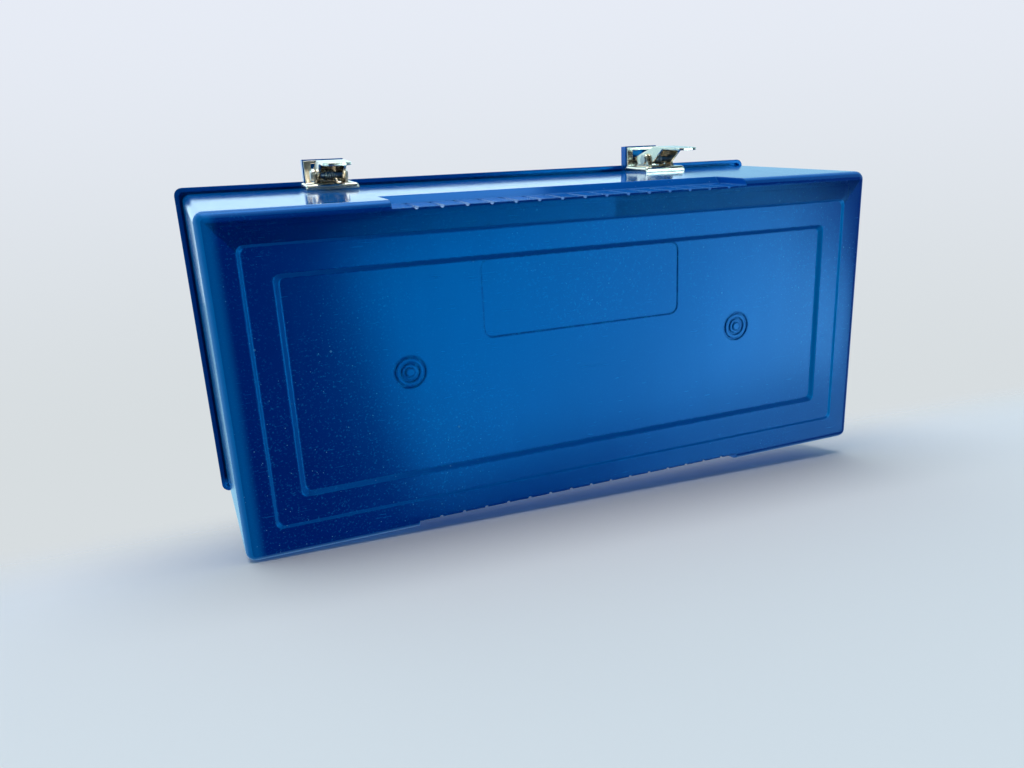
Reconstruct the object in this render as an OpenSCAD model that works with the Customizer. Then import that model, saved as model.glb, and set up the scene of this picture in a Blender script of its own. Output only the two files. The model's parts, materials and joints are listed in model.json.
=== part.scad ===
// Dome-lid lunch box: a moulded tub and lid on two butt hinges, two snap latches,
// a folding handle and a wire bail that holds a bottle inside the dome.
// The box stands on its underside: +X is its right side, the latches face -Y, +Z is up.

/* [Tub] */
// Width of the underside
bottom_w = 240; // [200:1:300]
// Depth of the underside, front to back
bottom_d = 107.4; // [104:0.2:140]
// Height of the tub up to the top of its flange
tub_h = 86.8; // [84:0.1:110]
// Lean of every moulded wall, in degrees
draft = 2.9; // [1:0.1:4]
// Thickness of the moulded walls
wall = 2.5; // [2:0.1:3.5]
// Thickness of the floor
floor_t = 3.6; // [3.4:0.1:5]
// Radius of the upright corners
corner_r = 3; // [2:0.1:6]
// Radius of the edge round the underside
foot_r = 3; // [1:0.1:4]

/* [Rim] */
// How far each flange stands out from its wall
flange_out = 2.5; // [2:0.1:4]
// Thickness of each flange
flange_t = 1.6; // [1.2:0.1:2.4]
// Height of the turned lip at the edge of a flange, flange included
lip_h = 3.6; // [2.4:0.1:5]
// Thickness of the turned lip
lip_t = 1.6; // [1:0.1:1.8]
// Gap between the two flanges when the lid is shut
rim_gap = 0.3; // [0.2:0.05:0.6]
// Height of the tongue that centres the lid
tongue_h = 3; // [2:0.1:4]
// Thickness of the tongue
tongue_t = 1.2; // [0.8:0.1:1.4]

/* [Underside] */
// Half width of the step inside the standing border
frame_hw = 110; // [106:0.5:112]
// Half depth of the step inside the standing border
frame_hd = 44; // [42:0.5:46]
// Depth of that step
frame_sink = 0.5; // [0.3:0.05:0.8]
// Half width of the sunken panel
panel_hw = 101; // [92:0.5:104]
// Half depth of the sunken panel
panel_hd = 35; // [32:0.5:39]
// Depth of the sunken panel below the step
panel_sink = 1.2; // [0.8:0.05:1.4]
// Width of the panel's sloping side
panel_slope = 1.4; // [0.6:0.1:2.5]
// Distance of each moulding gate from the middle
gate_x = 63; // [45:0.5:85]
// Half width of the bare plaque
plaque_hw = 37; // [20:0.5:45]
// Depth of the bare plaque, front to back
plaque_d = 25.6; // [15:0.2:30]

/* [Finger grips] */
// Half width of the grip in the front and back walls
grip_hw = 64.5; // [50:0.5:66]
// Height of the grip above the underside
grip_h = 17; // [12:0.5:22]
// Depth of the grip
grip_sink = 2.4; // [1.6:0.1:3]
// Number of ribs' grooves in each grip
groove_count = 15; // [9:1:17]
// Distance between grooves
groove_pitch = 8.13; // [6:0.01:8.2]
// Radius of a groove
groove_r = 0.65; // [0.4:0.05:0.9]

/* [Lid] */
// Height of the upright part of the lid above the rim
lid_wall_h = 43; // [30:0.5:60]
// Rise of the arched top above that
arch_rise = 48; // [30:0.5:52]
// Radius of the edge between the arch and the end walls
end_r = 4; // [2:0.5:8]

/* [Latches] */
// Distance of each latch from the middle
latch_x = 71.5; // [50:0.5:90]
// Drop of the latch pivot below the rim, along the wall
pivot_drop = 14.8; // [14.3:0.1:16]
// Distance of the latch pivot from the wall
pivot_out = 5; // [4.4:0.1:5.6]
// Radius of the latch pivot pin
latch_pin_r = 1.2; // [0.9:0.05:1.4]
// Width of the latch lever
lever_w = 10; // [9:0.1:10.6]
// Thickness of the latch's sheet steel
sheet = 1; // [0.8:0.05:1.2]
// Width of the latch's base plate
latch_base_w = 19.4; // [18:0.1:24]
// Width of the strike plate under the lid's lug
strike_w = 15; // [14:0.1:16]
// Width of the strike's window
window_w = 9.6; // [9.4:0.1:10.4]
// Radius of the spring's wire
spring_wire_r = 0.35; // [0.25:0.05:0.4]
// Turns of the latch spring
spring_turns = 5; // [3:1:6]

/* [Hinges] */
// Distance of each hinge from the middle
hinge_x = 71.5; // [40:0.5:95]
// Width of a hinge
hinge_w = 30; // [24:1:40]
// Radius of a hinge knuckle
knuckle_r = 3.3; // [2.8:0.1:3.6]
// Radius of a hinge pin
hinge_pin_r = 1.6; // [1.2:0.05:1.8]
// Distance of the hinge axis outside the rim
hinge_clear = 5; // [4.8:0.1:6]
// Thickness of a hinge leaf
leaf_t = 1.2; // [0.8:0.1:1.5]

/* [Handle] */
// Distance of each handle bracket from the middle
bracket_x = 55; // [40:1:70]
// Height of the handle pivot above the dome
handle_lift = 8.5; // [8.5:0.5:12]
// Distance from the handle's pivot to the middle of the grip
handle_reach = 34; // [30:1:42]
// Radius of the hand grip
hand_r = 6.5; // [5:0.5:8]
// Width of each handle arm
arm_w = 6; // [4:0.5:8]
// Radius of a handle pin
handle_pin_r = 2; // [1.5:0.1:2.5]

/* [Bottle bail] */
// Radius of the bail's wire
wire_r = 1.5; // [1:0.1:2]
// Half width of the bail
bail_hw = 38; // [25:1:60]
// Distance of the bail's pivot inside the face of the lid's back wall
bail_in = 9.7; // [8:0.1:12]
// Distance of the bail's free end inside the face of the lid's front wall
bail_end_gap = 19.7; // [19:0.1:40]
// Height of the bail above the rim
bail_lift = 7; // [5:0.5:10]

/* [Fits] */
// Radial clearance of a pin in a piece that turns on it
run_fit = 0.06; // [0.03:0.01:0.1]
// Gap between pieces that move past each other
free_gap = 0.3; // [0.2:0.05:0.5]
// Radius of a rivet's shank
rivet_r = 1.2; // [1:0.1:1.4]
// Radius of a rivet's head
rivet_head_r = 2.2; // [1.8:0.1:2.4]
// Height of a rivet's head
rivet_head_h = 0.8; // [0.5:0.1:0.9]

/* [Hidden] */
$fn = 40;

BLUE = [0.0, 0.36, 0.67];
NICKEL = [0.80, 0.80, 0.77];
STEEL = [0.62, 0.63, 0.65];

eps = 0.01;
lean = tan(draft);
parting_z = tub_h + rim_gap / 2;
pivot_s = tub_h - pivot_drop;
lid_z = tub_h + rim_gap;
arch_z = lid_z + lid_wall_h;
dome_z = arch_z + arch_rise;
// Half sizes of the tub's outside at a height
function half_w(z) = bottom_w / 2 + z * lean;
function half_d(z) = bottom_d / 2 + z * lean;
// Half sizes of the lid's outside at a height: the tub's, mirrored at the parting plane
function lid_half_w(z) = half_w(2 * parting_z - z);
function lid_half_d(z) = half_d(2 * parting_z - z);
rim_hw = half_w(tub_h - lip_h) + flange_out;
rim_hd = half_d(tub_h - lip_h) + flange_out;
// The arch: a circle through the tops of the two upright walls
arch_half = lid_half_d(arch_z);
arch_r = (arch_half * arch_half + arch_rise * arch_rise) / (2 * arch_rise);
arch_c = dome_z - arch_r;
hinge_y = rim_hd + hinge_clear;
// The bail's pivot and free end, front to back
bail_z = lid_z + bail_lift;
bail_y = lid_half_d(bail_z) - bail_in;
bail_len = 2 * lid_half_d(bail_z) - bail_in - bail_end_gap;
// Distance out from the wall, and height along it, of a point behind or in front of the box
function out_of(y, z) = (y - bottom_d / 2) * cos(draft) - z * sin(draft);
function along(y, z) = (y - bottom_d / 2) * sin(draft) + z * cos(draft);

// ---- Shared shapes ----

// Points of a rounded rectangle, anticlockwise
function round_rect(hw, hd, r, n = 5) = [
    for (q = [0:3], k = [0:n])
        let (a = q * 90 + k * 90 / n, sx = (q == 0 || q == 3) ? 1 : -1, sy = q < 2 ? 1 : -1)
            [sx * (hw - r) + r * cos(a), sy * (hd - r) + r * sin(a)]
];

// Skins a stack of rings that have the same number of points
module loft(rings) {
    n = len(rings[0]);
    last = (len(rings) - 1) * n;
    polyhedron(
        points = [for (ring = rings, p = ring) p],
        faces = concat(
            [[for (j = [0:n - 1]) j]],
            [for (i = [0:len(rings) - 2], j = [0:n - 1])
                [i * n + j, (i + 1) * n + j, (i + 1) * n + (j + 1) % n, i * n + (j + 1) % n]],
            [[for (j = [n - 1:-1:0]) last + j]]
        )
    );
}

// A rounded rectangle as a ring at a height
function ring_at(z, hw, hd, r) = [for (p = round_rect(hw, hd, max(r, 0.4))) [p[0], p[1], z]];

// A drafted tub shape: from z0, with a bottom edge of radius edge, up to z1, taken in by inset
module tub_shape(z0, z1, inset, edge) {
    loft(concat(
        [for (a = [0:22.5:90])
            let (z = z0 + edge * (1 - cos(a)), take = inset + edge * (1 - sin(a)))
                ring_at(z, half_w(z) - take, half_d(z) - take, corner_r - take + inset)],
        [ring_at(z1, half_w(z1) - inset, half_d(z1) - inset, corner_r)]
    ));
}

// A section across the lid from its foot over the arch, pushed out to x = side * half width
function lid_section(side, back, inset, z0, n = 32) =
    let (
        r = arch_r - inset,
        a = asin((arch_half - inset) / r),
        pts = concat(
            [[lid_half_d(z0) - inset, z0]],
            [for (k = [0:n]) let (t = a - 2 * a * k / n) [r * sin(t), arch_c + r * cos(t)]],
            [[-(lid_half_d(z0) - inset), z0]]
        )
    )
    [for (p = pts) [side * (lid_half_w(p[1]) - back), p[0], p[1]]];

// The lid's outside from z0 up, taken in by inset, with rounded ends
module lid_shape(z0, inset) {
    turns = [0:22.5:90];
    loft(concat(
        [for (a = turns) lid_section(-1, inset + end_r * (1 - cos(a)), inset + end_r * (1 - sin(a)), z0)],
        [for (a = turns) lid_section(1, inset + end_r * (1 - sin(a)), inset + end_r * (1 - cos(a)), z0)]
    ));
}

// A flat ring between two rounded rectangles
module rim_ring(z, h, hw, hd, width) {
    translate([0, 0, z])
        linear_extrude(h)
            difference() {
                polygon(round_rect(hw, hd, corner_r));
                polygon(round_rect(hw - width, hd - width, max(corner_r - width, 0.4)));
            }
}

// Places children on the tub's front wall: -Y is outward, Z runs up along the wall
module on_front() {
    translate([0, -bottom_d / 2, 0]) rotate([draft, 0, 0]) children();
}

// The same on the tub's back wall, with -Y still outward in the children's own frame
module on_back() {
    mirror([0, 1, 0]) on_front() children();
}

// The same on the lid's back wall, which mirrors the tub's at the parting plane
module on_lid_back() {
    translate([0, 0, 2 * parting_z]) mirror([0, 0, 1]) on_back() children();
}

// A plate of thickness t from x, cut to an outline of [distance from the wall, height] points
module side_plate(x, t, pts) {
    translate([x, 0, 0]) rotate([90, 0, 90])
        linear_extrude(t) polygon([for (p = pts) [-p[0], p[1]]]);
}

// A rod along X through [distance from the wall, height]
module cross_rod(x, len, out, s, r) {
    translate([x, -out, s]) rotate([0, 90, 0]) cylinder(r = r, h = len);
}

// A rod that stands out from the wall at x and height s, from distance a to distance b
module wall_rod(x, s, a, b, r) {
    translate([x, -a, s]) rotate([90, 0, 0]) cylinder(r = r, h = b - a);
}

// A rivet through a wall plate of thickness t and the moulded wall behind it
module wall_rivet(x, s, t) {
    wall_rod(x, s, -wall, t, rivet_r);
    wall_rod(x, s, t, t + rivet_head_h, rivet_head_r);
    wall_rod(x, s, -wall - rivet_head_h, -wall, rivet_head_r);
}

// ---- Places of the fasteners ----

latch_rivet_s = [pivot_s - 2.6, pivot_s + 5.6];
hinge_rivet_dx = hinge_w * 0.3;
leaf_drop = 5;
leaf_h = 14;
hinge_rivet_s = tub_h - leaf_drop - leaf_h * 0.64;
latch_notch_w = latch_base_w + 0.8;
hinge_notch_w = hinge_w + 2;
saddle_x = bail_hw + 8;

// ---- Tub ----

module grip_cut() {
    pad = [[-grip_sink, -2], [6, -2], [6, grip_h + 1.5], [0, grip_h + 1.5], [-grip_sink, grip_h - 1]];
    side_plate(-grip_hw, 2 * grip_hw, pad);
    for (i = [0:groove_count - 1])
        translate([(i - (groove_count - 1) / 2) * groove_pitch, grip_sink, -2])
            cylinder(r = groove_r, h = grip_h, $fn = 16);
}

// Thickening behind a finger grip, inside the tub
module grip_backing() {
    side_plate(-grip_hw - wall, 2 * (grip_hw + wall),
        [[-wall / 2, floor_t / 2], [-wall / 2, grip_h + 6], [-wall, grip_h + 6],
         [-wall - grip_sink, grip_h + 2], [-wall - grip_sink, floor_t / 2]]);
}

// Circular witness mark of a moulding gate
module gate_mark(x) {
    z = frame_sink + panel_sink;
    translate([x, 0, 0]) {
        for (r = [5.25, 3.3])
            translate([0, 0, z - eps]) difference() {
                cylinder(r = r, h = 0.35);
                translate([0, 0, -1]) cylinder(r = r - 0.6, h = 3);
            }
    }
}

module gate_nib(x) {
    z = frame_sink + panel_sink;
    translate([x, 0, z - 0.45]) cylinder(r = 1.5, h = 0.6);
}

module underside_cut() {
    slope = 0.8;
    loft([
        ring_at(-1, frame_hw, frame_hd, 2),
        ring_at(0, frame_hw, frame_hd, 2),
        ring_at(frame_sink, frame_hw - slope, frame_hd - slope, 2)
    ]);
    loft([
        ring_at(0, panel_hw, panel_hd, 2),
        ring_at(frame_sink, panel_hw, panel_hd, 2),
        ring_at(frame_sink + panel_sink, panel_hw - panel_slope, panel_hd - panel_slope, 2)
    ]);
    translate([0, plaque_d / 2 - panel_hd + panel_slope, 0])
        linear_extrude(frame_sink + panel_sink + 0.25)
            polygon(round_rect(plaque_hw, plaque_d / 2, 3));
    gate_mark(-gate_x);
    gate_mark(gate_x);
}

module tub_flange() {
    difference() {
        union() {
            rim_ring(tub_h - flange_t, flange_t, rim_hw, rim_hd, flange_out + wall);
            rim_ring(tub_h - lip_h, lip_h, rim_hw, rim_hd, lip_t);
        }
        for (side = [-1, 1]) {
            on_front() flange_notch(side * latch_x, latch_notch_w);
            on_back() flange_notch(side * hinge_x, hinge_notch_w);
        }
    }
}

// A notch with rounded ends through a flange, down to just clear of the wall
module flange_notch(x, w) {
    r = 1.5;
    translate([x, -0.6, tub_h - 3 * lip_h]) linear_extrude(6 * lip_h)
        polygon(concat(
            [[-w / 2, -8], [w / 2, -8]],
            [for (a = [0:15:90]) [w / 2 - r + r * cos(a), -r + r * sin(a)]],
            [for (a = [90:15:180]) [-w / 2 + r + r * cos(a), -r + r * sin(a)]]
        ));
}

module base_tub() {
    color(BLUE) difference() {
        union() {
            difference() {
                union() {
                    tub_shape(0, tub_h, 0, foot_r);
                    tub_flange();
                }
                tub_shape(floor_t, tub_h + 1, wall, 4);
            }
            on_front() grip_backing();
            on_back() grip_backing();
            rim_ring(tub_h - 1, tongue_h + 1, half_w(tub_h) - wall + tongue_t,
                half_d(tub_h) - wall + tongue_t, tongue_t);
            for (side = [-1, 1]) gate_nib(side * gate_x);
        }
        difference() {
            underside_cut();
            for (side = [-1, 1]) gate_nib(side * gate_x);
        }
        on_front() grip_cut();
        on_back() grip_cut();
        for (side = [-1, 1]) {
            on_front() for (s = latch_rivet_s) wall_rod(side * latch_x, s, -8, 8, rivet_r);
            on_back() for (dx = [-1, 1])
                wall_rod(side * hinge_x + dx * hinge_rivet_dx, hinge_rivet_s, -8, 8, rivet_r);
        }
    }
}

// ---- Lid ----

lug_hw = strike_w / 2 + 0.4;
strike_in = half_d(tub_h) + 1;
strike_out = strike_in + 9;
strike_z = tub_h - 3.3;
window_in = strike_in + 2.8;
window_out = window_in + 5;
tang_x = window_w / 2 + 1.2;

module lid_flange() {
    difference() {
        union() {
            rim_ring(lid_z, flange_t, rim_hw, rim_hd, flange_out + wall);
            rim_ring(lid_z, lip_h, rim_hw, rim_hd, lip_t);
        }
        for (side = [-1, 1]) on_lid_back() flange_notch(side * hinge_x, hinge_notch_w);
    }
}

// The hollow lug that the latch hooks into, with slots for the strike plate's tangs
module latch_lug() {
    top = strike_z + sheet + 4.1;
    difference() {
        translate([-lug_hw, -strike_out - 0.5, strike_z + sheet])
            cube([2 * lug_hw, strike_out + 0.5 - strike_in, top - strike_z - sheet]);
        translate([-window_w / 2 - 0.2, -window_out, strike_z])
            cube([window_w + 0.4, window_out - strike_in - 0.8, 3.9]);
        for (side = [-1, 1]) translate([side * tang_x - 0.55, -strike_in - 5.5, strike_z])
            cube([1.1, 3.1, sheet + 2.6]);
    }
}

module lid_dome() {
    color(BLUE) difference() {
        union() {
            lid_shape(lid_z, 0);
            lid_flange();
            for (side = [-1, 1]) translate([side * latch_x, 0, 0]) latch_lug();
        }
        lid_shape(lid_z - 1, wall);
        translate([0, 0, lid_z - 1]) linear_extrude(tongue_h + 1 + free_gap)
            polygon(round_rect(half_w(tub_h) - wall + tongue_t + free_gap,
                half_d(tub_h) - wall + tongue_t + free_gap, corner_r));
        for (side = [-1, 1]) {
            on_lid_back() for (dx = [-1, 1])
                wall_rod(side * hinge_x + dx * hinge_rivet_dx, hinge_rivet_s, -8, 8, rivet_r);
            on_lid_back() wall_rod(side * saddle_x, saddle_rivet_s, -8, 8, rivet_r);
            for (x = [-1, 1]) translate([side * bracket_x + x * bracket_rivet_x, 0, dome_z - 6])
                cylinder(r = rivet_r, h = 12);
        }
    }
}

// ---- Latches ----

module latch_base(side) {
    half = latch_base_w / 2;
    low = pivot_s - 8;
    high = tub_h - 4.6;
    bead = 1.1 * sheet;
    ear_x = lever_w / 2 + free_gap;
    color(NICKEL) on_front() translate([side * latch_x, 0, 0]) difference() {
        union() {
            side_plate(-half, latch_base_w, [[0, low], [sheet, low], [sheet, high], [0, high]]);
            for (s = [low + bead, high - bead])
                cross_rod(-half + bead, latch_base_w - 2 * bead, bead, s, bead);
            for (x = [-half + bead, half - bead]) {
                translate([x, -bead, low + bead]) cylinder(r = bead, h = high - low - 2 * bead);
                for (s = [low + bead, high - bead]) translate([x, -bead, s]) sphere(r = bead);
            }
            for (x = [-ear_x - sheet, ear_x]) {
                side_plate(x, sheet, [
                    [sheet / 2, pivot_s - 6], [pivot_out + 0.4, pivot_s - 2.4], [pivot_out + 1, pivot_s],
                    [pivot_out + 0.4, pivot_s + 2.4], [sheet / 2, pivot_s + 8]
                ]);
                cross_rod(x, sheet, pivot_out, pivot_s, latch_pin_r * 2.1);
            }
        }
        cross_rod(-half, latch_base_w, pivot_out, pivot_s, latch_pin_r);
        for (s = latch_rivet_s) wall_rod(0, s, -1, 3, rivet_r);
    }
}

// Along the wall: the lever's thumb end, its bend, the neck of its hook arm and the hook
tab_len = 25;
tip = pivot_s - tab_len;
bend = pivot_s - 6;
neck = pivot_s + 8.6;
hook = pivot_s + 13.3;
// Out from the wall: the thumb tab, the hook arm and the hook's nose
far = pivot_out + 5.6;
near = pivot_out + 0.9;
nose = pivot_out - 2.7;

// Plan of the lever: a rounded thumb tab, the channel, and the narrower hook arm
function lever_plan(top) =
    let (w = lever_w / 2, r = w * 0.7, arm = window_w / 2 - 0.5)
    concat(
        [for (a = [180:15:270]) [-w + r + r * cos(a), tip + r + r * sin(a)]],
        [for (a = [270:15:360]) [w - r + r * cos(a), tip + r + r * sin(a)]],
        [[w, neck], [arm, neck + 1.5], [arm, top], [-arm, top], [-arm, neck + 1.5], [-w, neck]]
    );

module latch_lever(side) {
    cheek_x = lever_w / 2 - sheet;
    cheek_low = pivot_out - 2 * latch_pin_r;
    color(NICKEL) on_front() translate([side * latch_x, 0, 0]) difference() {
        union() {
            intersection() {
                side_plate(-lever_w / 2, lever_w, [
                    [far - 0.6, tip], [far, bend], [near, neck + 1], [near, hook + 1.1],
                    [near - 0.6, hook + 1.7], [near - sheet, hook + 1.7], [nose, hook + 0.9], [nose, hook],
                    [near - sheet, hook], [near - sheet, neck + 0.8],
                    [far - sheet, bend - 0.4], [far - 0.6 - sheet, tip]
                ]);
                translate([0, 1, 0]) rotate([90, 0, 0])
                    linear_extrude(2 * far) polygon(lever_plan(hook + 3));
            }
            for (x = [-lever_w / 2, cheek_x]) side_plate(x, sheet, [
                [far - 0.8, bend - 7], [far - 0.4, bend], [near - 0.3, neck], [cheek_low, neck - 2],
                [cheek_low, pivot_s - 2.5], [pivot_out - 1, pivot_s - 5.5]
            ]);
        }
        cross_rod(-lever_w, 2 * lever_w, pivot_out, pivot_s, latch_pin_r + run_fit);
    }
}

module latch_pin(side) {
    reach = lever_w / 2 + free_gap + sheet;
    color(STEEL) on_front() translate([side * latch_x, 0, 0]) {
        cross_rod(-reach, 2 * reach, pivot_out, pivot_s, latch_pin_r);
        for (x = [-reach - 0.6, reach]) cross_rod(x, 0.6, pivot_out, pivot_s, latch_pin_r * 1.6);
    }
}

// Torsion spring round the pivot pin: a helix of wire with two straight legs
module latch_spring(side) {
    coil_r = latch_pin_r + 0.15 + spring_wire_r;
    pitch = 2 * spring_wire_r + 0.05;
    len = spring_turns * pitch;
    n = 14;
    m = 8;
    path = concat(
        [[-len / 2, coil_r, 7]],
        [for (i = [0:n * spring_turns]) let (a = 360 * i / n)
            [-len / 2 + pitch * i / n, coil_r * cos(a), coil_r * sin(a)]],
        [[len / 2, coil_r, -4]]
    );
    last = len(path) - 1;
    rings = [for (i = [0:last])
        let (
            ahead = path[min(i + 1, last)] - path[max(i - 1, 0)],
            dir = ahead / norm(ahead),
            side_v = cross(dir, [1, 0, 0.001]),
            u = side_v / norm(side_v),
            v = cross(dir, u)
        )
        [for (j = [0:m - 1]) path[i] + spring_wire_r * (cos(360 * j / m) * u + sin(360 * j / m) * v)]
    ];
    color(STEEL) on_front() translate([side * latch_x, -pivot_out, pivot_s]) loft(rings);
}

module latch_rivets() {
    color(NICKEL) on_front() for (side = [-1, 1], s = latch_rivet_s) wall_rivet(side * latch_x, s, sheet);
}

// Plate under the lid's lug, with the window that the lever's hook enters
module strike_plate(side) {
    color(NICKEL) translate([side * latch_x, 0, 0]) {
        difference() {
            translate([-strike_w / 2, -strike_out, strike_z]) cube([strike_w, strike_out - strike_in, sheet]);
            translate([-window_w / 2, -window_out, strike_z - 1])
                cube([window_w, window_out - window_in, sheet + 2]);
        }
        for (s = [-1, 1]) translate([s * tang_x - 0.5, -strike_in - 5.45, strike_z + sheet / 2])
            cube([1, 3, sheet / 2 + 2.5]);
    }
}

// ---- Hinges ----

hinge_out = out_of(hinge_y, parting_z);
hinge_s = along(hinge_y, parting_z);
// Where the lid's half of the hinge ends, measured from the middle of the hinge
knuckle_split = hinge_w / 6;

module hinge_leaf(zones) {
    half = hinge_w / 2;
    top = tub_h - leaf_drop;
    difference() {
        union() {
            side_plate(-half, hinge_w, [[0, top - leaf_h], [leaf_t, top - leaf_h], [leaf_t, top], [0, top]]);
            for (zone = zones) {
                side_plate(zone[0], zone[1] - zone[0], [
                    [0, top - eps], [leaf_t, top - eps],
                    [hinge_out + knuckle_r * 0.5, hinge_s - knuckle_r * 0.87],
                    [hinge_out, hinge_s], [hinge_out - knuckle_r, hinge_s - 0.4],
                    [hinge_out - knuckle_r - 0.1, hinge_s - 1.8], [leaf_t, top + 2.2], [0, top + 1.4]
                ]);
                cross_rod(zone[0], zone[1] - zone[0], hinge_out, hinge_s, knuckle_r);
            }
        }
        cross_rod(-hinge_w, 2 * hinge_w, hinge_out, hinge_s, hinge_pin_r + run_fit);
        for (dx = [-1, 1]) wall_rod(dx * hinge_rivet_dx, hinge_rivet_s, -1, 4, rivet_r);
    }
}

module hinge_tub_leaf(side) {
    color(NICKEL) on_back() translate([side * hinge_x, 0, 0])
        hinge_leaf([[-hinge_w / 2, -knuckle_split - 0.1], [knuckle_split + 0.1, hinge_w / 2]]);
}

module hinge_lid_leaf(side) {
    color(NICKEL) on_lid_back() translate([side * hinge_x, 0, 0])
        hinge_leaf([[-knuckle_split + 0.1, knuckle_split - 0.1]]);
}

module hinge_pin(side) {
    color(STEEL) on_back() translate([side * hinge_x, 0, 0]) {
        cross_rod(-hinge_w / 2, hinge_w, hinge_out, hinge_s, hinge_pin_r);
        for (x = [-hinge_w / 2 - 0.8, hinge_w / 2])
            cross_rod(x, 0.8, hinge_out, hinge_s, hinge_pin_r + 0.6);
    }
}

module hinge_rivets() {
    for (side = [-1, 1], dx = [-1, 1])
        wall_rivet(side * hinge_x + dx * hinge_rivet_dx, hinge_rivet_s, leaf_t);
}

// ---- Handle ----

pad_t = 1.5;
// The inner heads sit on the crown's lowest flats
seat_gap = 0.1;
pad_half_a = 7;
ear_t = 1.5;
ear_x = arm_w / 2 + free_gap;
bracket_hw = ear_x + ear_t + 2 * rivet_head_r + 1;
bracket_rivet_x = bracket_hw - rivet_head_r - 0.5;
handle_z = dome_z + handle_lift;
// Angle from upright at which the grip lies against the dome
fold = acos((pow(arch_r + hand_r + 0.4, 2) - pow(handle_z - arch_c, 2) - pow(handle_reach, 2))
    / (2 * (handle_z - arch_c) * handle_reach));

// A stretch of the dome's crown between two radii, as wide as a bracket
module crown_pad(hw, r0, r1) {
    translate([-hw, 0, arch_c]) intersection() {
        rotate([0, 90, 0]) difference() {
            cylinder(r = r1, h = 2 * hw, $fn = 160);
            translate([0, 0, -1]) cylinder(r = r0, h = 2 * hw + 2, $fn = 160);
        }
        rotate([90, 0, 90]) linear_extrude(2 * hw)
            polygon([[0, 0], [-2 * r1 * tan(pad_half_a), 2 * r1], [2 * r1 * tan(pad_half_a), 2 * r1]]);
    }
}

module handle_bracket(side) {
    color(NICKEL) translate([side * bracket_x, 0, 0]) difference() {
        union() {
            crown_pad(bracket_hw, arch_r, arch_r + pad_t);
            for (x = [-ear_x - ear_t, ear_x]) {
                translate([x, 0, 0]) rotate([90, 0, 90]) linear_extrude(ear_t) polygon([
                    [-6, dome_z + 0.4], [6, dome_z + 0.4],
                    [handle_pin_r + 2, handle_z], [-handle_pin_r - 2, handle_z]
                ]);
                translate([x, 0, handle_z]) rotate([0, 90, 0]) cylinder(r = handle_pin_r + 2, h = ear_t);
            }
        }
        translate([-bracket_hw, 0, handle_z]) rotate([0, 90, 0])
            cylinder(r = handle_pin_r, h = 2 * bracket_hw);
        for (x = [-1, 1]) translate([x * bracket_rivet_x, 0, dome_z - 1]) cylinder(r = rivet_r, h = 6);
    }
}

module handle_pin(side) {
    reach = ear_x + ear_t;
    color(STEEL) translate([side * bracket_x, 0, handle_z]) rotate([0, 90, 0]) {
        translate([0, 0, -reach]) cylinder(r = handle_pin_r, h = 2 * reach);
        for (z = [-reach - 0.8, reach]) translate([0, 0, z]) cylinder(r = handle_pin_r + 0.8, h = 0.8);
    }
}

module handle_bracket_rivets() {
    color(NICKEL) for (side = [-1, 1], x = [-1, 1])
        translate([side * bracket_x + x * bracket_rivet_x, 0, dome_z]) {
            translate([0, 0, -wall - seat_gap]) cylinder(r = rivet_r, h = wall + pad_t + seat_gap);
            translate([0, 0, pad_t]) cylinder(r = rivet_head_r, h = rivet_head_h);
            translate([0, 0, -wall - seat_gap - rivet_head_h]) cylinder(r = rivet_head_r, h = rivet_head_h);
        }
}

// Hand grip between two arms, folded back onto the dome
module handle_grip() {
    eye = handle_pin_r + 2.2;
    arm_half = eye - 0.8;
    color(BLUE) translate([0, 0, handle_z]) rotate([-fold, 0, 0]) difference() {
        union() {
            for (side = [-1, 1]) {
                translate([side * bracket_x - arm_w / 2, 0, 0]) rotate([0, 90, 0])
                    cylinder(r = eye, h = arm_w);
                translate([side * bracket_x - arm_w / 2, 0, 0]) rotate([90, 0, 90]) linear_extrude(arm_w)
                    polygon([
                        [-arm_half, 0], [arm_half, 0], [hand_r - 2, handle_reach], [2 - hand_r, handle_reach]
                    ]);
                translate([side * bracket_x, 0, handle_reach]) sphere(r = hand_r);
            }
            translate([-bracket_x, 0, handle_reach]) rotate([0, 90, 0])
                cylinder(r = hand_r, h = 2 * bracket_x);
        }
        translate([-bracket_x * 2, 0, 0]) rotate([0, 90, 0])
            cylinder(r = handle_pin_r + run_fit, h = bracket_x * 4);
    }
}

// ---- Bottle bail ----

// The bail's pivot, measured from the lid's back wall
bail_out = out_of(bail_y, 2 * parting_z - bail_z);
bail_s = along(bail_y, 2 * parting_z - bail_z);
saddle_rivet_s = bail_s - 7;

module bottle_bail() {
    front = bail_y - bail_len;
    color(STEEL) translate([0, 0, bail_z]) {
        for (side = [-1, 1]) {
            translate([side * (bail_hw + saddle_x + 6) / 2, bail_y, 0]) rotate([0, 90, 0])
                cylinder(r = wire_r, h = saddle_x + 6 - bail_hw, center = true);
            translate([side * bail_hw, front, 0]) rotate([-90, 0, 0]) cylinder(r = wire_r, h = bail_len);
            for (y = [front, bail_y]) translate([side * bail_hw, y, 0]) sphere(r = wire_r);
        }
        translate([-bail_hw, front, 0]) rotate([0, 90, 0]) cylinder(r = wire_r, h = 2 * bail_hw);
    }
}

// Clip on the lid's back wall that the bail turns in
module bail_saddle(side) {
    half = 4;
    ring = wire_r + 1.2;
    color(NICKEL) on_lid_back() translate([side * saddle_x, 0, 0]) difference() {
        union() {
            side_plate(-half, 2 * half, [
                [-wall, bail_s - 10], [-wall - 1.2, bail_s - 10], [-wall - 1.2, bail_s - ring],
                [bail_out, bail_s - ring], [bail_out, bail_s + 0.4], [-wall, bail_s + 0.4]
            ]);
            cross_rod(-half, 2 * half, bail_out, bail_s, ring);
        }
        cross_rod(-2 * half, 4 * half, bail_out, bail_s, wire_r + run_fit);
        wall_rod(0, saddle_rivet_s, -10, 1, rivet_r);
    }
}

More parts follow.
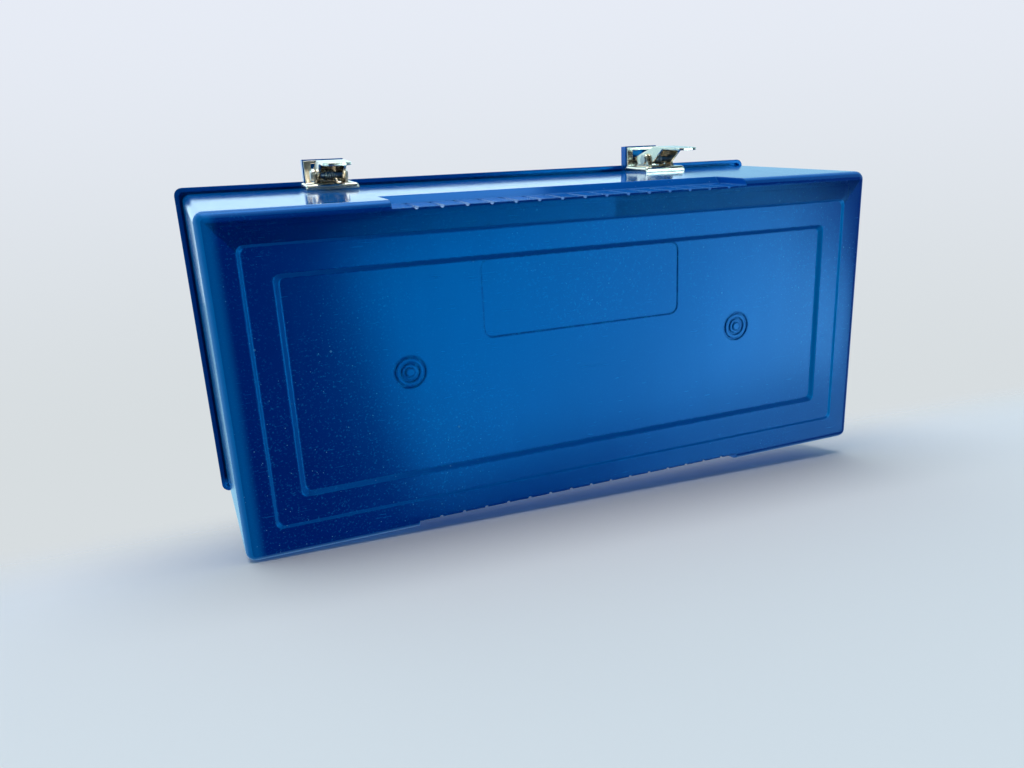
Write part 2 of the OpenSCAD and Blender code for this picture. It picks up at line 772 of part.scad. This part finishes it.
module bail_saddle_rivets() {
    color(NICKEL) on_lid_back() for (side = [-1, 1]) {
        wall_rod(side * saddle_x, saddle_rivet_s, -wall - 1.2, 0, rivet_r);
        wall_rod(side * saddle_x, saddle_rivet_s, 0, rivet_head_h, rivet_head_r);
        wall_rod(side * saddle_x, saddle_rivet_s, -wall - 1.2 - rivet_head_h, -wall - 1.2, rivet_head_r);
    }
}

base_tub();
lid_dome();
handle_grip();
latch_base(-1);  // latch_base_left
latch_base(1);  // latch_base_right
latch_lever(-1);  // latch_lever_left
latch_lever(1);  // latch_lever_right
latch_pin(-1);  // latch_pin_left
latch_pin(1);  // latch_pin_right
latch_spring(-1);  // latch_spring_left
latch_spring(1);  // latch_spring_right
latch_rivets();
strike_plate(-1);  // strike_plate_left
strike_plate(1);  // strike_plate_right
hinge_tub_leaf(-1);  // hinge_tub_leaf_left
hinge_tub_leaf(1);  // hinge_tub_leaf_right
hinge_lid_leaf(-1);  // hinge_lid_leaf_left
hinge_lid_leaf(1);  // hinge_lid_leaf_right
hinge_pin(-1);  // hinge_pin_left
hinge_pin(1);  // hinge_pin_right
color(NICKEL) on_back() hinge_rivets();  // hinge_tub_rivets
color(NICKEL) on_lid_back() hinge_rivets();  // hinge_lid_rivets
handle_bracket(-1);  // handle_bracket_left
handle_bracket(1);  // handle_bracket_right
handle_pin(-1);  // handle_pin_left
handle_pin(1);  // handle_pin_right
handle_bracket_rivets();
bottle_bail();
bail_saddle(-1);  // bail_saddle_left
bail_saddle(1);  // bail_saddle_right
bail_saddle_rivets();
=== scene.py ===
"""Dress the lunch box's CAD nodes, and light them on a pale table.

The box stands on its underside in the shared frame, which is in metres. The camera is
rolled, so that the picture shows the box lying on its back with its underside in view.
"""
import json
import math

import bmesh
import bpy
from mathutils import Matrix, Vector

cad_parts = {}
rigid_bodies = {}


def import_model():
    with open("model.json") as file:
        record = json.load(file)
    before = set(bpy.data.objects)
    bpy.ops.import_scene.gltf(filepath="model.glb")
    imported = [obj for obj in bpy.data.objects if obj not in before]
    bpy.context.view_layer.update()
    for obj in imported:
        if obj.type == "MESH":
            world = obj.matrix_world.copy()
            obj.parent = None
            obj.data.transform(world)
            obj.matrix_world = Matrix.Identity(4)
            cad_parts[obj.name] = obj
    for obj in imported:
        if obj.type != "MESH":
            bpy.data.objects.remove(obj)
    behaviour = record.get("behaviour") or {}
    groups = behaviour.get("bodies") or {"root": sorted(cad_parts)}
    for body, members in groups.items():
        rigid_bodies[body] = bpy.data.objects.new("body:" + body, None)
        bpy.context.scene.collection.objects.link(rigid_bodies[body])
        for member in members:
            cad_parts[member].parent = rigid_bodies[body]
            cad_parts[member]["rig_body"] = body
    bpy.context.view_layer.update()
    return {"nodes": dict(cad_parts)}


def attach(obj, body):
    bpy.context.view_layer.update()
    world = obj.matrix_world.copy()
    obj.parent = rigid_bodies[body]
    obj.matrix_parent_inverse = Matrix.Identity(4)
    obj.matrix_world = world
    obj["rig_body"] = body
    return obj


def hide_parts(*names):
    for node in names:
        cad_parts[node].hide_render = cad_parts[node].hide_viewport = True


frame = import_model()

BLUE_NODES = ["base_tub", "lid_dome", "handle_grip"]
NICKEL_NODES = [
    "latch_base_left", "latch_base_right", "latch_lever_left", "latch_lever_right",
    "strike_plate_left", "strike_plate_right", "hinge_tub_leaf_left", "hinge_tub_leaf_right",
    "hinge_lid_leaf_left", "hinge_lid_leaf_right", "handle_bracket_left",
    "handle_bracket_right", "bail_saddle_left", "bail_saddle_right",
]
RIVET_NODES = [
    "latch_rivets", "hinge_tub_rivets", "hinge_lid_rivets", "handle_bracket_rivets",
    "bail_saddle_rivets",
]
STEEL_NODES = [
    "latch_pin_left", "latch_pin_right", "latch_spring_left", "latch_spring_right",
    "hinge_pin_left", "hinge_pin_right", "handle_pin_left", "handle_pin_right", "bottle_bail",
]

# Edges that turn by more than this stay sharp, in degrees
PLASTIC_CREASE, NICKEL_CREASE, STEEL_CREASE = 24, 32, 40
WELD = 1e-7        # points closer than this are one point
FLAT_WEIGHT = 100  # how much a large flat face decides its corners' normals

# Radius over which a material eases its edges
PLASTIC_EASE, NICKEL_EASE, STEEL_EASE = 0.0008, 0.0006, 0.0003
EASE_SAMPLES = 4

# Colours of the plastic, linear
WALL_DEEP, WALL_PALE = (0.0, 0.090, 0.42, 1), (0.0, 0.130, 0.52, 1)
# The underside's colours hold painted shade: they are darker because the underside faces away
# from the light
SOLE_SHADED_DEEP, SOLE_SHADED_PALE = (0.0, 0.012, 0.165, 1), (0.0, 0.021, 0.220, 1)
# Painted highlight: a paler cyan on the fillet round the underside
FILLET_HIGHLIGHT_BLUE = (0.0, 0.20, 0.58, 1)
# Painted highlight along the underside's left edge
RIM_HIGHLIGHT_BLUE = (0.0, 0.16, 0.50, 1)
HAIR_BLUE = (0.01, 0.15, 0.46, 1)
SCUFF_BLUE = (0.01, 0.16, 0.48, 1)
WORN_BLUE = (0.0, 0.26, 0.60, 1)
DUST_GREY = (0.25, 0.46, 0.66, 1)

# Colours of the metals, linear
NICKEL_DEEP, NICKEL_PALE = (0.94, 0.79, 0.62, 1), (0.98, 0.87, 0.73, 1)
PIT_BROWN = (0.18, 0.15, 0.11, 1)
STEEL_DEEP, STEEL_PALE = (0.42, 0.41, 0.39, 1), (0.60, 0.59, 0.56, 1)

# Zones of the plastic
FOOT_FADE = (0.02, 0.004)          # height: from the walls to the underside
RIM_FADE = (-0.1135, -0.1170)      # x: the underside's left edge, where a highlight is painted
DUSTY_FADE = (-0.03, -0.115)       # x: from the middle to the dusty left end
SOLE_TURN = (-0.45, -0.85)         # normal's z: from the fillet to the underside, which takes painted shade
FILLET_LOW = (-0.995, -0.94)       # normal's z: where the fillet starts
FILLET_HIGH = (-0.12, -0.35)       # normal's z: where the fillet ends
LEFT_TURN = (-0.1, -0.5)           # normal's x: the left fillet gets the most painted highlight
FILLET_HIGHLIGHT_SHARE = (0.2, 0.9)          # of the painted highlight colour on the fillet: elsewhere, and on the left


def srgb(r, g, b):
    """A linear colour from screen levels of 0 to 255"""
    def lin(v):
        v /= 255
        return v / 12.92 if v <= 0.04045 else ((v + 0.055) / 1.055) ** 2.4
    return (lin(r), lin(g), lin(b), 1.0)


class Tree:
    """A small helper for writing node trees."""

    def __init__(self, tree):
        self.t = tree
        self.t.nodes.clear()
        self.coord = None

    def n(self, kind, **props):
        node = self.t.nodes.new(kind)
        for key, value in props.items():
            setattr(node, key, value)
        return node

    def put(self, socket, value):
        """Link the socket if value is a socket too, and set its constant otherwise"""
        if isinstance(value, bpy.types.NodeSocket):
            self.t.links.new(value, socket)
        else:
            socket.default_value = value

    def math(self, op, a, b=0.0, clamp=False):
        m = self.n("ShaderNodeMath", operation=op, use_clamp=clamp)
        self.put(m.inputs[0], a)
        self.put(m.inputs[1], b)
        return m.outputs[0]

    def times(self, a, b):
        return self.math("MULTIPLY", a, b)

    def plus(self, a, b, clamp=False):
        return self.math("ADD", a, b, clamp)

    def larger(self, a, b):
        return self.math("MAXIMUM", a, b)

    def band(self, value, lo, hi, out_lo=0.0, out_hi=1.0, smooth=True):
        """out_lo at lo and before, out_hi at hi and after"""
        kind = "SMOOTHSTEP" if smooth else "LINEAR"
        m = self.n("ShaderNodeMapRange", interpolation_type=kind)
        for i, v in enumerate((value, lo, hi, out_lo, out_hi)):
            self.put(m.inputs[i], v)
        return m.outputs[0]

    def mix(self, share, a, b):
        """Colour a, with this share of colour b over it"""
        m = self.n("ShaderNodeMix", data_type="RGBA", blend_type="MIX")
        self.put(m.inputs[0], share)
        self.put(m.inputs[6], a)
        self.put(m.inputs[7], b)
        return m.outputs[2]

    def split(self, vector):
        """The vector's x, y and z"""
        sep = self.n("ShaderNodeSeparateXYZ")
        self.put(sep.inputs[0], vector)
        return sep.outputs

    def place(self, scale=(1, 1, 1), turn=(0, 0, 0), shift=(0, 0, 0)):
        """The object's own coordinates, mapped; turn is in degrees"""
        if self.coord is None:
            self.coord = self.n("ShaderNodeTexCoord").outputs["Object"]
        m = self.n("ShaderNodeMapping")
        self.put(m.inputs[0], self.coord)
        self.put(m.inputs[1], shift)
        self.put(m.inputs[2], tuple(math.radians(a) for a in turn))
        self.put(m.inputs[3], scale)
        return m.outputs[0]

    def noise(self, scale, detail=2.0, rough=0.5, vector=None, warp=0.0):
        m = self.n("ShaderNodeTexNoise")
        self.put(m.inputs["Vector"], vector if vector is not None else self.place())
        self.put(m.inputs["Scale"], scale)
        self.put(m.inputs["Detail"], detail)
        self.put(m.inputs["Roughness"], rough)
        self.put(m.inputs["Distortion"], warp)
        return m.outputs["Fac"]

    def scratches(self, long, fine, turn, amount, seed):
        """Thin lines, `long` metres or so in length and set by `fine` per metre across."""
        v = self.place((1 / long, fine, fine), turn, (seed, seed * 1.7, seed * 0.6))
        lines = self.band(self.noise(1.0, 1.0, 0.4, v, 0.5), 0.70 - amount, 0.74 - amount)
        spot = self.noise(55.0, 1.0, 0.5, self.place(shift=(seed, 0, seed)))
        return self.times(lines, self.band(spot, 0.50, 0.62))

    def hairs(self, scale, width, seed):
        """Short curved hairlines: thin level lines of a noise, kept in patches"""
        v = self.place(shift=(seed, seed * 0.3, seed * 1.9))
        level = self.math("ABSOLUTE", self.math("SUBTRACT", self.noise(scale, 0.0, 0.5, v), 0.5))
        line = self.band(level, width, width * 2, 1.0, 0.0)
        patch = self.band(self.noise(scale * 0.5, 1.0, 0.5, v), 0.56, 0.60)
        return self.times(line, patch)

    def specks(self, scale, size, share):
        """Round dots: `scale` cells per metre, of which this share has a dot"""
        cells = self.n("ShaderNodeTexVoronoi")
        self.put(cells.inputs["Vector"], self.place())
        self.put(cells.inputs["Scale"], scale)
        near = self.band(cells.outputs["Distance"], size * 0.6, size, 1.0, 0.0)
        sep = self.n("ShaderNodeSeparateColor")
        self.put(sep.inputs[0], cells.outputs["Color"])
        return self.times(near, self.math("GREATER_THAN", sep.outputs[0], 1 - share))

    def eased(self, radius):
        """The normal, rounded over the edges by this radius"""
        bevel = self.n("ShaderNodeBevel", samples=EASE_SAMPLES)
        self.put(bevel.inputs[0], radius)
        return bevel.outputs[0]

    def near_edge(self, normal):
        """1 on an edge that the eased normal rounds, 0 on the flat"""
        dot = self.n("ShaderNodeVectorMath", operation="DOT_PRODUCT")
        self.put(dot.inputs[0], normal)
        self.put(dot.inputs[1], self.n("ShaderNodeNewGeometry").outputs["Normal"])
        return self.band(dot.outputs["Value"], 0.995, 0.86)

    def bump(self, height, distance, strength, normal):
        b = self.n("ShaderNodeBump")
        self.put(b.inputs["Height"], height)
        self.put(b.inputs["Distance"], distance)
        self.put(b.inputs["Strength"], strength)
        self.put(b.inputs["Normal"], normal)
        return b.outputs[0]


def new_tree(name):
    """An empty material, its tree and its output"""
    m = bpy.data.materials.new(name)
    m.use_nodes = True
    t = Tree(m.node_tree)
    return m, t, t.n("ShaderNodeOutputMaterial")


def material(name):
    m, t, out = new_tree(name)
    bsdf = t.n("ShaderNodeBsdfPrincipled")
    t.put(out.inputs[0], bsdf.outputs[0])
    return m, t, bsdf


def blue_plastic():
    """Glossy blue moulding: an underside darkened with painted shade, fillets with a painted
    highlight that is strongest on the left, a painted highlight along the underside's left edge,
    rougher fillets, worn edges, scratches, haze and dust
    """
    m, t, p = material("blue_plastic")

    # Scratches: curved hairlines, and four families of straight ones
    hair = t.times(t.hairs(60, 0.0011, 2.0), 0.3)
    for k, angles in enumerate(((10, 25, -38), (0, 12, 74), (24, 0, 100), (6, 0, 140))):
        family = t.scratches(0.005 + 0.001 * k, 2600, angles, -0.04, 7.0 + k)
        hair = t.larger(hair, family)

    cloud = t.noise(26, 4, 0.6)
    haze = t.noise(7, 2, 0.5)
    smear = t.noise(1.0, 3, 0.65, t.place((260, 12, 60), (0, 0, 5)))
    grain = t.noise(1300, 2, 0.7)

    # Dust gathers in clouds towards the left end
    x, _, z = t.split(t.place())
    left = t.band(x, *DUSTY_FADE, 0.0, 0.22, smooth=False)
    dusty = t.band(t.plus(t.noise(14, 2, 0.5), left), 0.44, 0.72)
    dust = t.times(t.larger(t.specks(620, 0.13, 0.3), t.specks(230, 0.10, 0.08)), dusty)
    scuff = t.times(t.band(grain, 0.56, 0.70), t.plus(0.1, dusty))

    # Zones: the underside, which takes painted shade; the fillet round it and its left edge,
    # which take painted highlights; and every worn edge
    nx, _, nz = t.split(t.n("ShaderNodeNewGeometry").outputs["True Normal"])
    low = t.band(z, *FOOT_FADE)
    sole = t.times(t.band(nz, *SOLE_TURN), low)
    fillet = t.times(t.times(t.band(nz, *FILLET_LOW), t.band(nz, *FILLET_HIGH)), low)
    # Where the painted highlight runs along the underside's left edge
    rim = t.times(t.band(x, *RIM_FADE), t.times(sole, 0.65))
    normal = t.eased(PLASTIC_EASE)
    wear = t.times(t.near_edge(normal), t.band(t.noise(420, 3, 0.65), 0.42, 0.66))

    # The underside takes the darker colours: painted shade
    base = t.mix(sole, t.mix(cloud, WALL_DEEP, WALL_PALE), t.mix(cloud, SOLE_SHADED_DEEP, SOLE_SHADED_PALE))
    # Painted highlight on the fillet round the underside, strongest on the left
    base = t.mix(t.times(fillet, t.band(nx, *LEFT_TURN, *FILLET_HIGHLIGHT_SHARE)), base, FILLET_HIGHLIGHT_BLUE)
    # Painted highlight along the underside's left edge
    base = t.mix(rim, base, RIM_HIGHLIGHT_BLUE)
    base = t.mix(t.times(hair, 0.32), base, HAIR_BLUE)
    base = t.mix(t.times(scuff, 0.40), base, SCUFF_BLUE)
    base = t.mix(t.times(wear, 0.45), base, WORN_BLUE)
    base = t.mix(t.times(dust, 0.38), base, DUST_GREY)
    t.put(p.inputs["Base Color"], base)

    rough = t.plus(t.plus(t.times(sole, 0.10), t.times(smear, 0.08)), 0.05)
    rough = t.plus(rough, t.times(hair, 0.15))
    rough = t.plus(rough, t.times(t.larger(wear, fillet), 0.22))
    t.put(p.inputs["Roughness"], t.plus(rough, t.times(dust, 0.4), clamp=True))
    p.inputs["IOR"].default_value = 1.7
    p.inputs["Sheen Weight"].default_value = 0.15
    p.inputs["Sheen Roughness"].default_value = 0.35
    p.inputs["Sheen Tint"].default_value = (0.0, 0.5, 1.0, 1)
    p.inputs["Specular Tint"].default_value = (0.0, 0.38, 1.0, 1)

    height = t.plus(t.times(haze, 4.0), t.times(grain, 0.015))
    height = t.math("SUBTRACT", height, t.times(hair, 0.06))
    t.put(p.inputs["Normal"], t.bump(height, 0.0001, 1.0, normal))
    return m


def nickel():
    """Cream nickel plating with fine scratches and a few brown pits"""
    m, t, p = material("nickel")
    fine = t.larger(t.scratches(0.01, 5200, (0, 12, 70), 0.05, 2.0),
                    t.scratches(0.012, 4200, (24, 0, 20), 0.05, 4.0))
    cloud = t.noise(140, 4, 0.65)
    pits = t.specks(1500, 0.2, 0.12)
    base = t.mix(cloud, NICKEL_DEEP, NICKEL_PALE)
    t.put(p.inputs["Base Color"], t.mix(t.times(pits, 0.6), base, PIT_BROWN))
    p.inputs["Metallic"].default_value = 1.0
    rough = t.plus(0.10, t.times(cloud, 0.16))
    t.put(p.inputs["Roughness"], t.plus(rough, t.times(fine, 0.2), clamp=True))
    height = t.math("SUBTRACT", t.times(t.noise(320, 2, 0.5), 0.5), t.times(pits, 0.4))
    t.put(p.inputs["Normal"], t.bump(height, 0.0001, 0.7, t.eased(NICKEL_EASE)))
    return m


def steel():
    """Plain grey steel wire and pins"""
    m, t, p = material("steel")
    fine = t.scratches(0.008, 6000, (0, 12, 70), 0.06, 5.0)
    cloud = t.noise(220, 4, 0.65)
    t.put(p.inputs["Base Color"], t.mix(cloud, STEEL_DEEP, STEEL_PALE))
    p.inputs["Metallic"].default_value = 1.0
    rough = t.plus(0.22, t.times(cloud, 0.2))
    t.put(p.inputs["Roughness"], t.plus(rough, t.times(fine, 0.2), clamp=True))
    height = t.noise(700, 3, 0.6)
    t.put(p.inputs["Normal"], t.bump(height, 0.00005, 0.8, t.eased(STEEL_EASE)))
    return m


def link(name, data):
    """A new object of the scene"""
    o = bpy.data.objects.new(name, data)
    bpy.context.scene.collection.objects.link(o)
    return o


def dress(nodes, m, crease):
    """Each node's own surface again, shaded round over its small facets."""
    for name in nodes:
        cad = frame["nodes"][name]
        mesh = cad.data.copy()
        if "custom_normal" in mesh.attributes:
            mesh.attributes.remove(mesh.attributes["custom_normal"])
        work = bmesh.new()
        work.from_mesh(mesh)
        bmesh.ops.remove_doubles(work, verts=work.verts, dist=WELD)
        for face in work.faces:
            face.smooth = True
        for edge in work.edges:
            edge.smooth = edge.is_manifold and edge.calc_face_angle(0) < math.radians(crease)
        work.to_mesh(mesh)
        work.free()
        mesh.materials.clear()
        mesh.materials.append(m)
        piece = link(name + "_skin", mesh)
        even = piece.modifiers.new("even", "WEIGHTED_NORMAL")
        even.keep_sharp = True
        even.weight = FLAT_WEIGHT
        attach(piece, cad["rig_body"])
        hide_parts(name)


PLASTIC, NICKEL, STEEL = blue_plastic(), nickel(), steel()
dress(BLUE_NODES, PLASTIC, PLASTIC_CREASE)
dress(NICKEL_NODES + RIVET_NODES, NICKEL, NICKEL_CREASE)
dress(STEEL_NODES, STEEL, STEEL_CREASE)

# ---- camera: where it stands, and the world directions of its picture's axes ----
FOCAL_PX, WIDTH_PX, SENSOR = 750.3, 1024, 36
CAMERA_AT = (-0.11505, -0.06021, -0.22737)
PICTURE_RIGHT = Vector((0.929210, 0.049043, -0.366282))
PICTURE_DOWN = Vector((-0.143825, 0.961003, -0.236192))
AHEAD = Vector((0.340415, 0.272153, 0.900028))

cam = bpy.data.cameras.new("camera")
cam.sensor_width = SENSOR
cam.lens = FOCAL_PX / WIDTH_PX * SENSOR
cam.clip_start = 0.01
cam.clip_end = 50
cam_obj = link("camera", cam)
aim_rows = Matrix((PICTURE_RIGHT, -PICTURE_DOWN, -AHEAD))
cam_obj.matrix_world = Matrix.Translation(CAMERA_AT) @ aim_rows.transposed().to_4x4()
bpy.context.scene.camera = cam_obj
bpy.context.scene.view_settings.view_transform = "Standard"

# ---- table and ground: staging, seen from the front only ----
FAR_FADE = (0.7, 1.7)              # distance from the origin over which a floor fades out
TABLE_FADE = (0.0, 0.08)           # height over which the table fades out
GROUND_FADE = (5, 6)               # heights that the ground never reaches
TABLE_TINT = (0.97, 0.80, 0.76, 1)
GROUND_TINT = (0.89, 0.77, 0.73, 1)
FLOOR_HALF = 3
# The box leans back on its hinge side, on the foot's edge and the rim, lowest at the left
LEAN, CANT = 0.178, 0.03           # the table's slope along z, and along x
REACH = 1.88                       # how far below the foot the table's middle is
FOOT_BACK, TOUCH_X = 0.0537, 0.118  # y of the foot's back edge, half length where it touches


def floor_material(name, lo, hi, tint):
    """A pale floor that fades out between the heights lo and hi, and far away"""
    m, t, out = new_tree(name)
    diffuse = t.n("ShaderNodeBsdfDiffuse")
    t.put(diffuse.inputs[0], tint)
    clear = t.n("ShaderNodeBsdfTransparent")
    geo = t.n("ShaderNodeNewGeometry")
    height = t.split(geo.outputs["Position"])[2]
    far = t.n("ShaderNodeVectorMath", operation="LENGTH")
    t.put(far.inputs[0], geo.outputs["Position"])
    fade = t.larger(t.band(height, lo, hi), t.band(far.outputs["Value"], *FAR_FADE))
    mix = t.n("ShaderNodeMixShader")
    t.put(mix.inputs[0], t.larger(fade, geo.outputs["Backfacing"]))
    t.put(mix.inputs[1], diffuse.outputs[0])
    t.put(mix.inputs[2], clear.outputs[0])
    t.put(out.inputs[0], mix.outputs[0])
    return m


def floor(name, centre, u, v, m):
    """A rectangle with the half sides u and v, that takes shadows and gives no light back"""
    mesh = bpy.data.meshes.new(name)
    corners = ((-1, -1), (1, -1), (1, 1), (-1, 1))
    points = [Vector(centre) + a * Vector(u) + b * Vector(v) for a, b in corners]
    mesh.from_pydata(points, [], [(0, 1, 2, 3)])
    mesh.materials.append(m)
    o = link(name, mesh)
    for key in ("visible_diffuse", "visible_glossy", "visible_transmission", "visible_shadow"):
        setattr(o, key, False)


floor("table", (0, FOOT_BACK + TOUCH_X * CANT - REACH * LEAN, -REACH),
      (FLOOR_HALF, FLOOR_HALF * CANT, 0), (0, 2 * LEAN, 2.0),
      floor_material("table", *TABLE_FADE, TABLE_TINT))
floor("ground", (0, 0, 0), (FLOOR_HALF, 0, 0), (0, FLOOR_HALF, 0),
      floor_material("ground", *GROUND_FADE, GROUND_TINT))

# ---- world: what the camera sees behind the box, and what lights and mirrors in it ----
SEEN_TOP, SEEN_LOW = srgb(231, 236, 246), srgb(215, 221, 224)
ROOM_LIT, ROOM_DARK = (0.40, 0.74, 0.92, 1), (0.035, 0.05, 0.065, 1)

world = bpy.data.worlds.new("studio")
bpy.context.scene.world = world
world.use_nodes = True
w = Tree(world.node_tree)
w_out = w.n("ShaderNodeOutputWorld")
seen, room = w.n("ShaderNodeBackground"), w.n("ShaderNodeBackground")
_, side_y, up_z = w.split(w.n("ShaderNodeTexCoord").outputs["Generated"])
w.put(seen.inputs[0], w.mix(w.band(side_y, -0.25, 0.30), SEEN_TOP, SEEN_LOW))
w.put(room.inputs[0], w.mix(w.band(up_z, 0.50, -0.15), ROOM_LIT, ROOM_DARK))
shader = w.n("ShaderNodeMixShader")
w.put(shader.inputs[0], w.n("ShaderNodeLightPath").outputs["Is Camera Ray"])
w.put(shader.inputs[1], room.outputs[0])
w.put(shader.inputs[2], seen.outputs[0])
w.put(w_out.inputs[0], shader.outputs[0])


def lamp(name, at, aim, size, radiance, colour, roll=0.0):
    """A rectangle of light that the camera doesn't see; roll is in degrees"""
    data = bpy.data.lights.new(name, "AREA")
    data.shape = "RECTANGLE"
    data.size, data.size_y = size
    data.energy = radiance * math.pi * size[0] * size[1]
    data.color = colour
    o = link(name, data)
    o.visible_camera = False
    back = (Vector(at) - Vector(aim)).normalized()
    facing = back.to_track_quat("Z", "Y").to_matrix().to_4x4()
    spin = Matrix.Rotation(math.radians(roll), 4, "Z")
    o.matrix_world = Matrix.Translation(at) @ facing @ spin


# name, place, aim, width and height, radiance, colour, roll
lamp("softbox", (0.585, 0.2, -1.12), (0, 0, 0), (0.55, 0.95), 4.6, (0.56, 0.91, 1), 34)
lamp("side", (1.0, 0.56, -1.0), (0.1, 0.02, 0), (0.85, 0.6), 2.0, (0.42, 0.88, 1))
lamp("left", (-1.2, 0.1, -0.1), (-0.1, 0, 0.04), (1.0, 1.2), 1.2, (0.48, 0.86, 1))
lamp("right", (1.2, -0.5, -0.25), (0.1, 0, 0.04), (0.8, 0.8), 0.9, (0.45, 0.86, 1))
lamp("front", (-0.2, -0.75, -1.05), (0, 0, 0.04), (0.7, 0.7), 0.4, (0.6, 0.88, 1))
lamp("top", (-0.05, -1.4, 0.15), (0, 0, 0), (1.3, 1.1), 3.2, (0.76, 0.91, 1))
lamp("back", (0.1, -0.15, 1.25), (0, 0, 0.05), (1.9, 0.9), 0.62, (0.9, 0.97, 1))
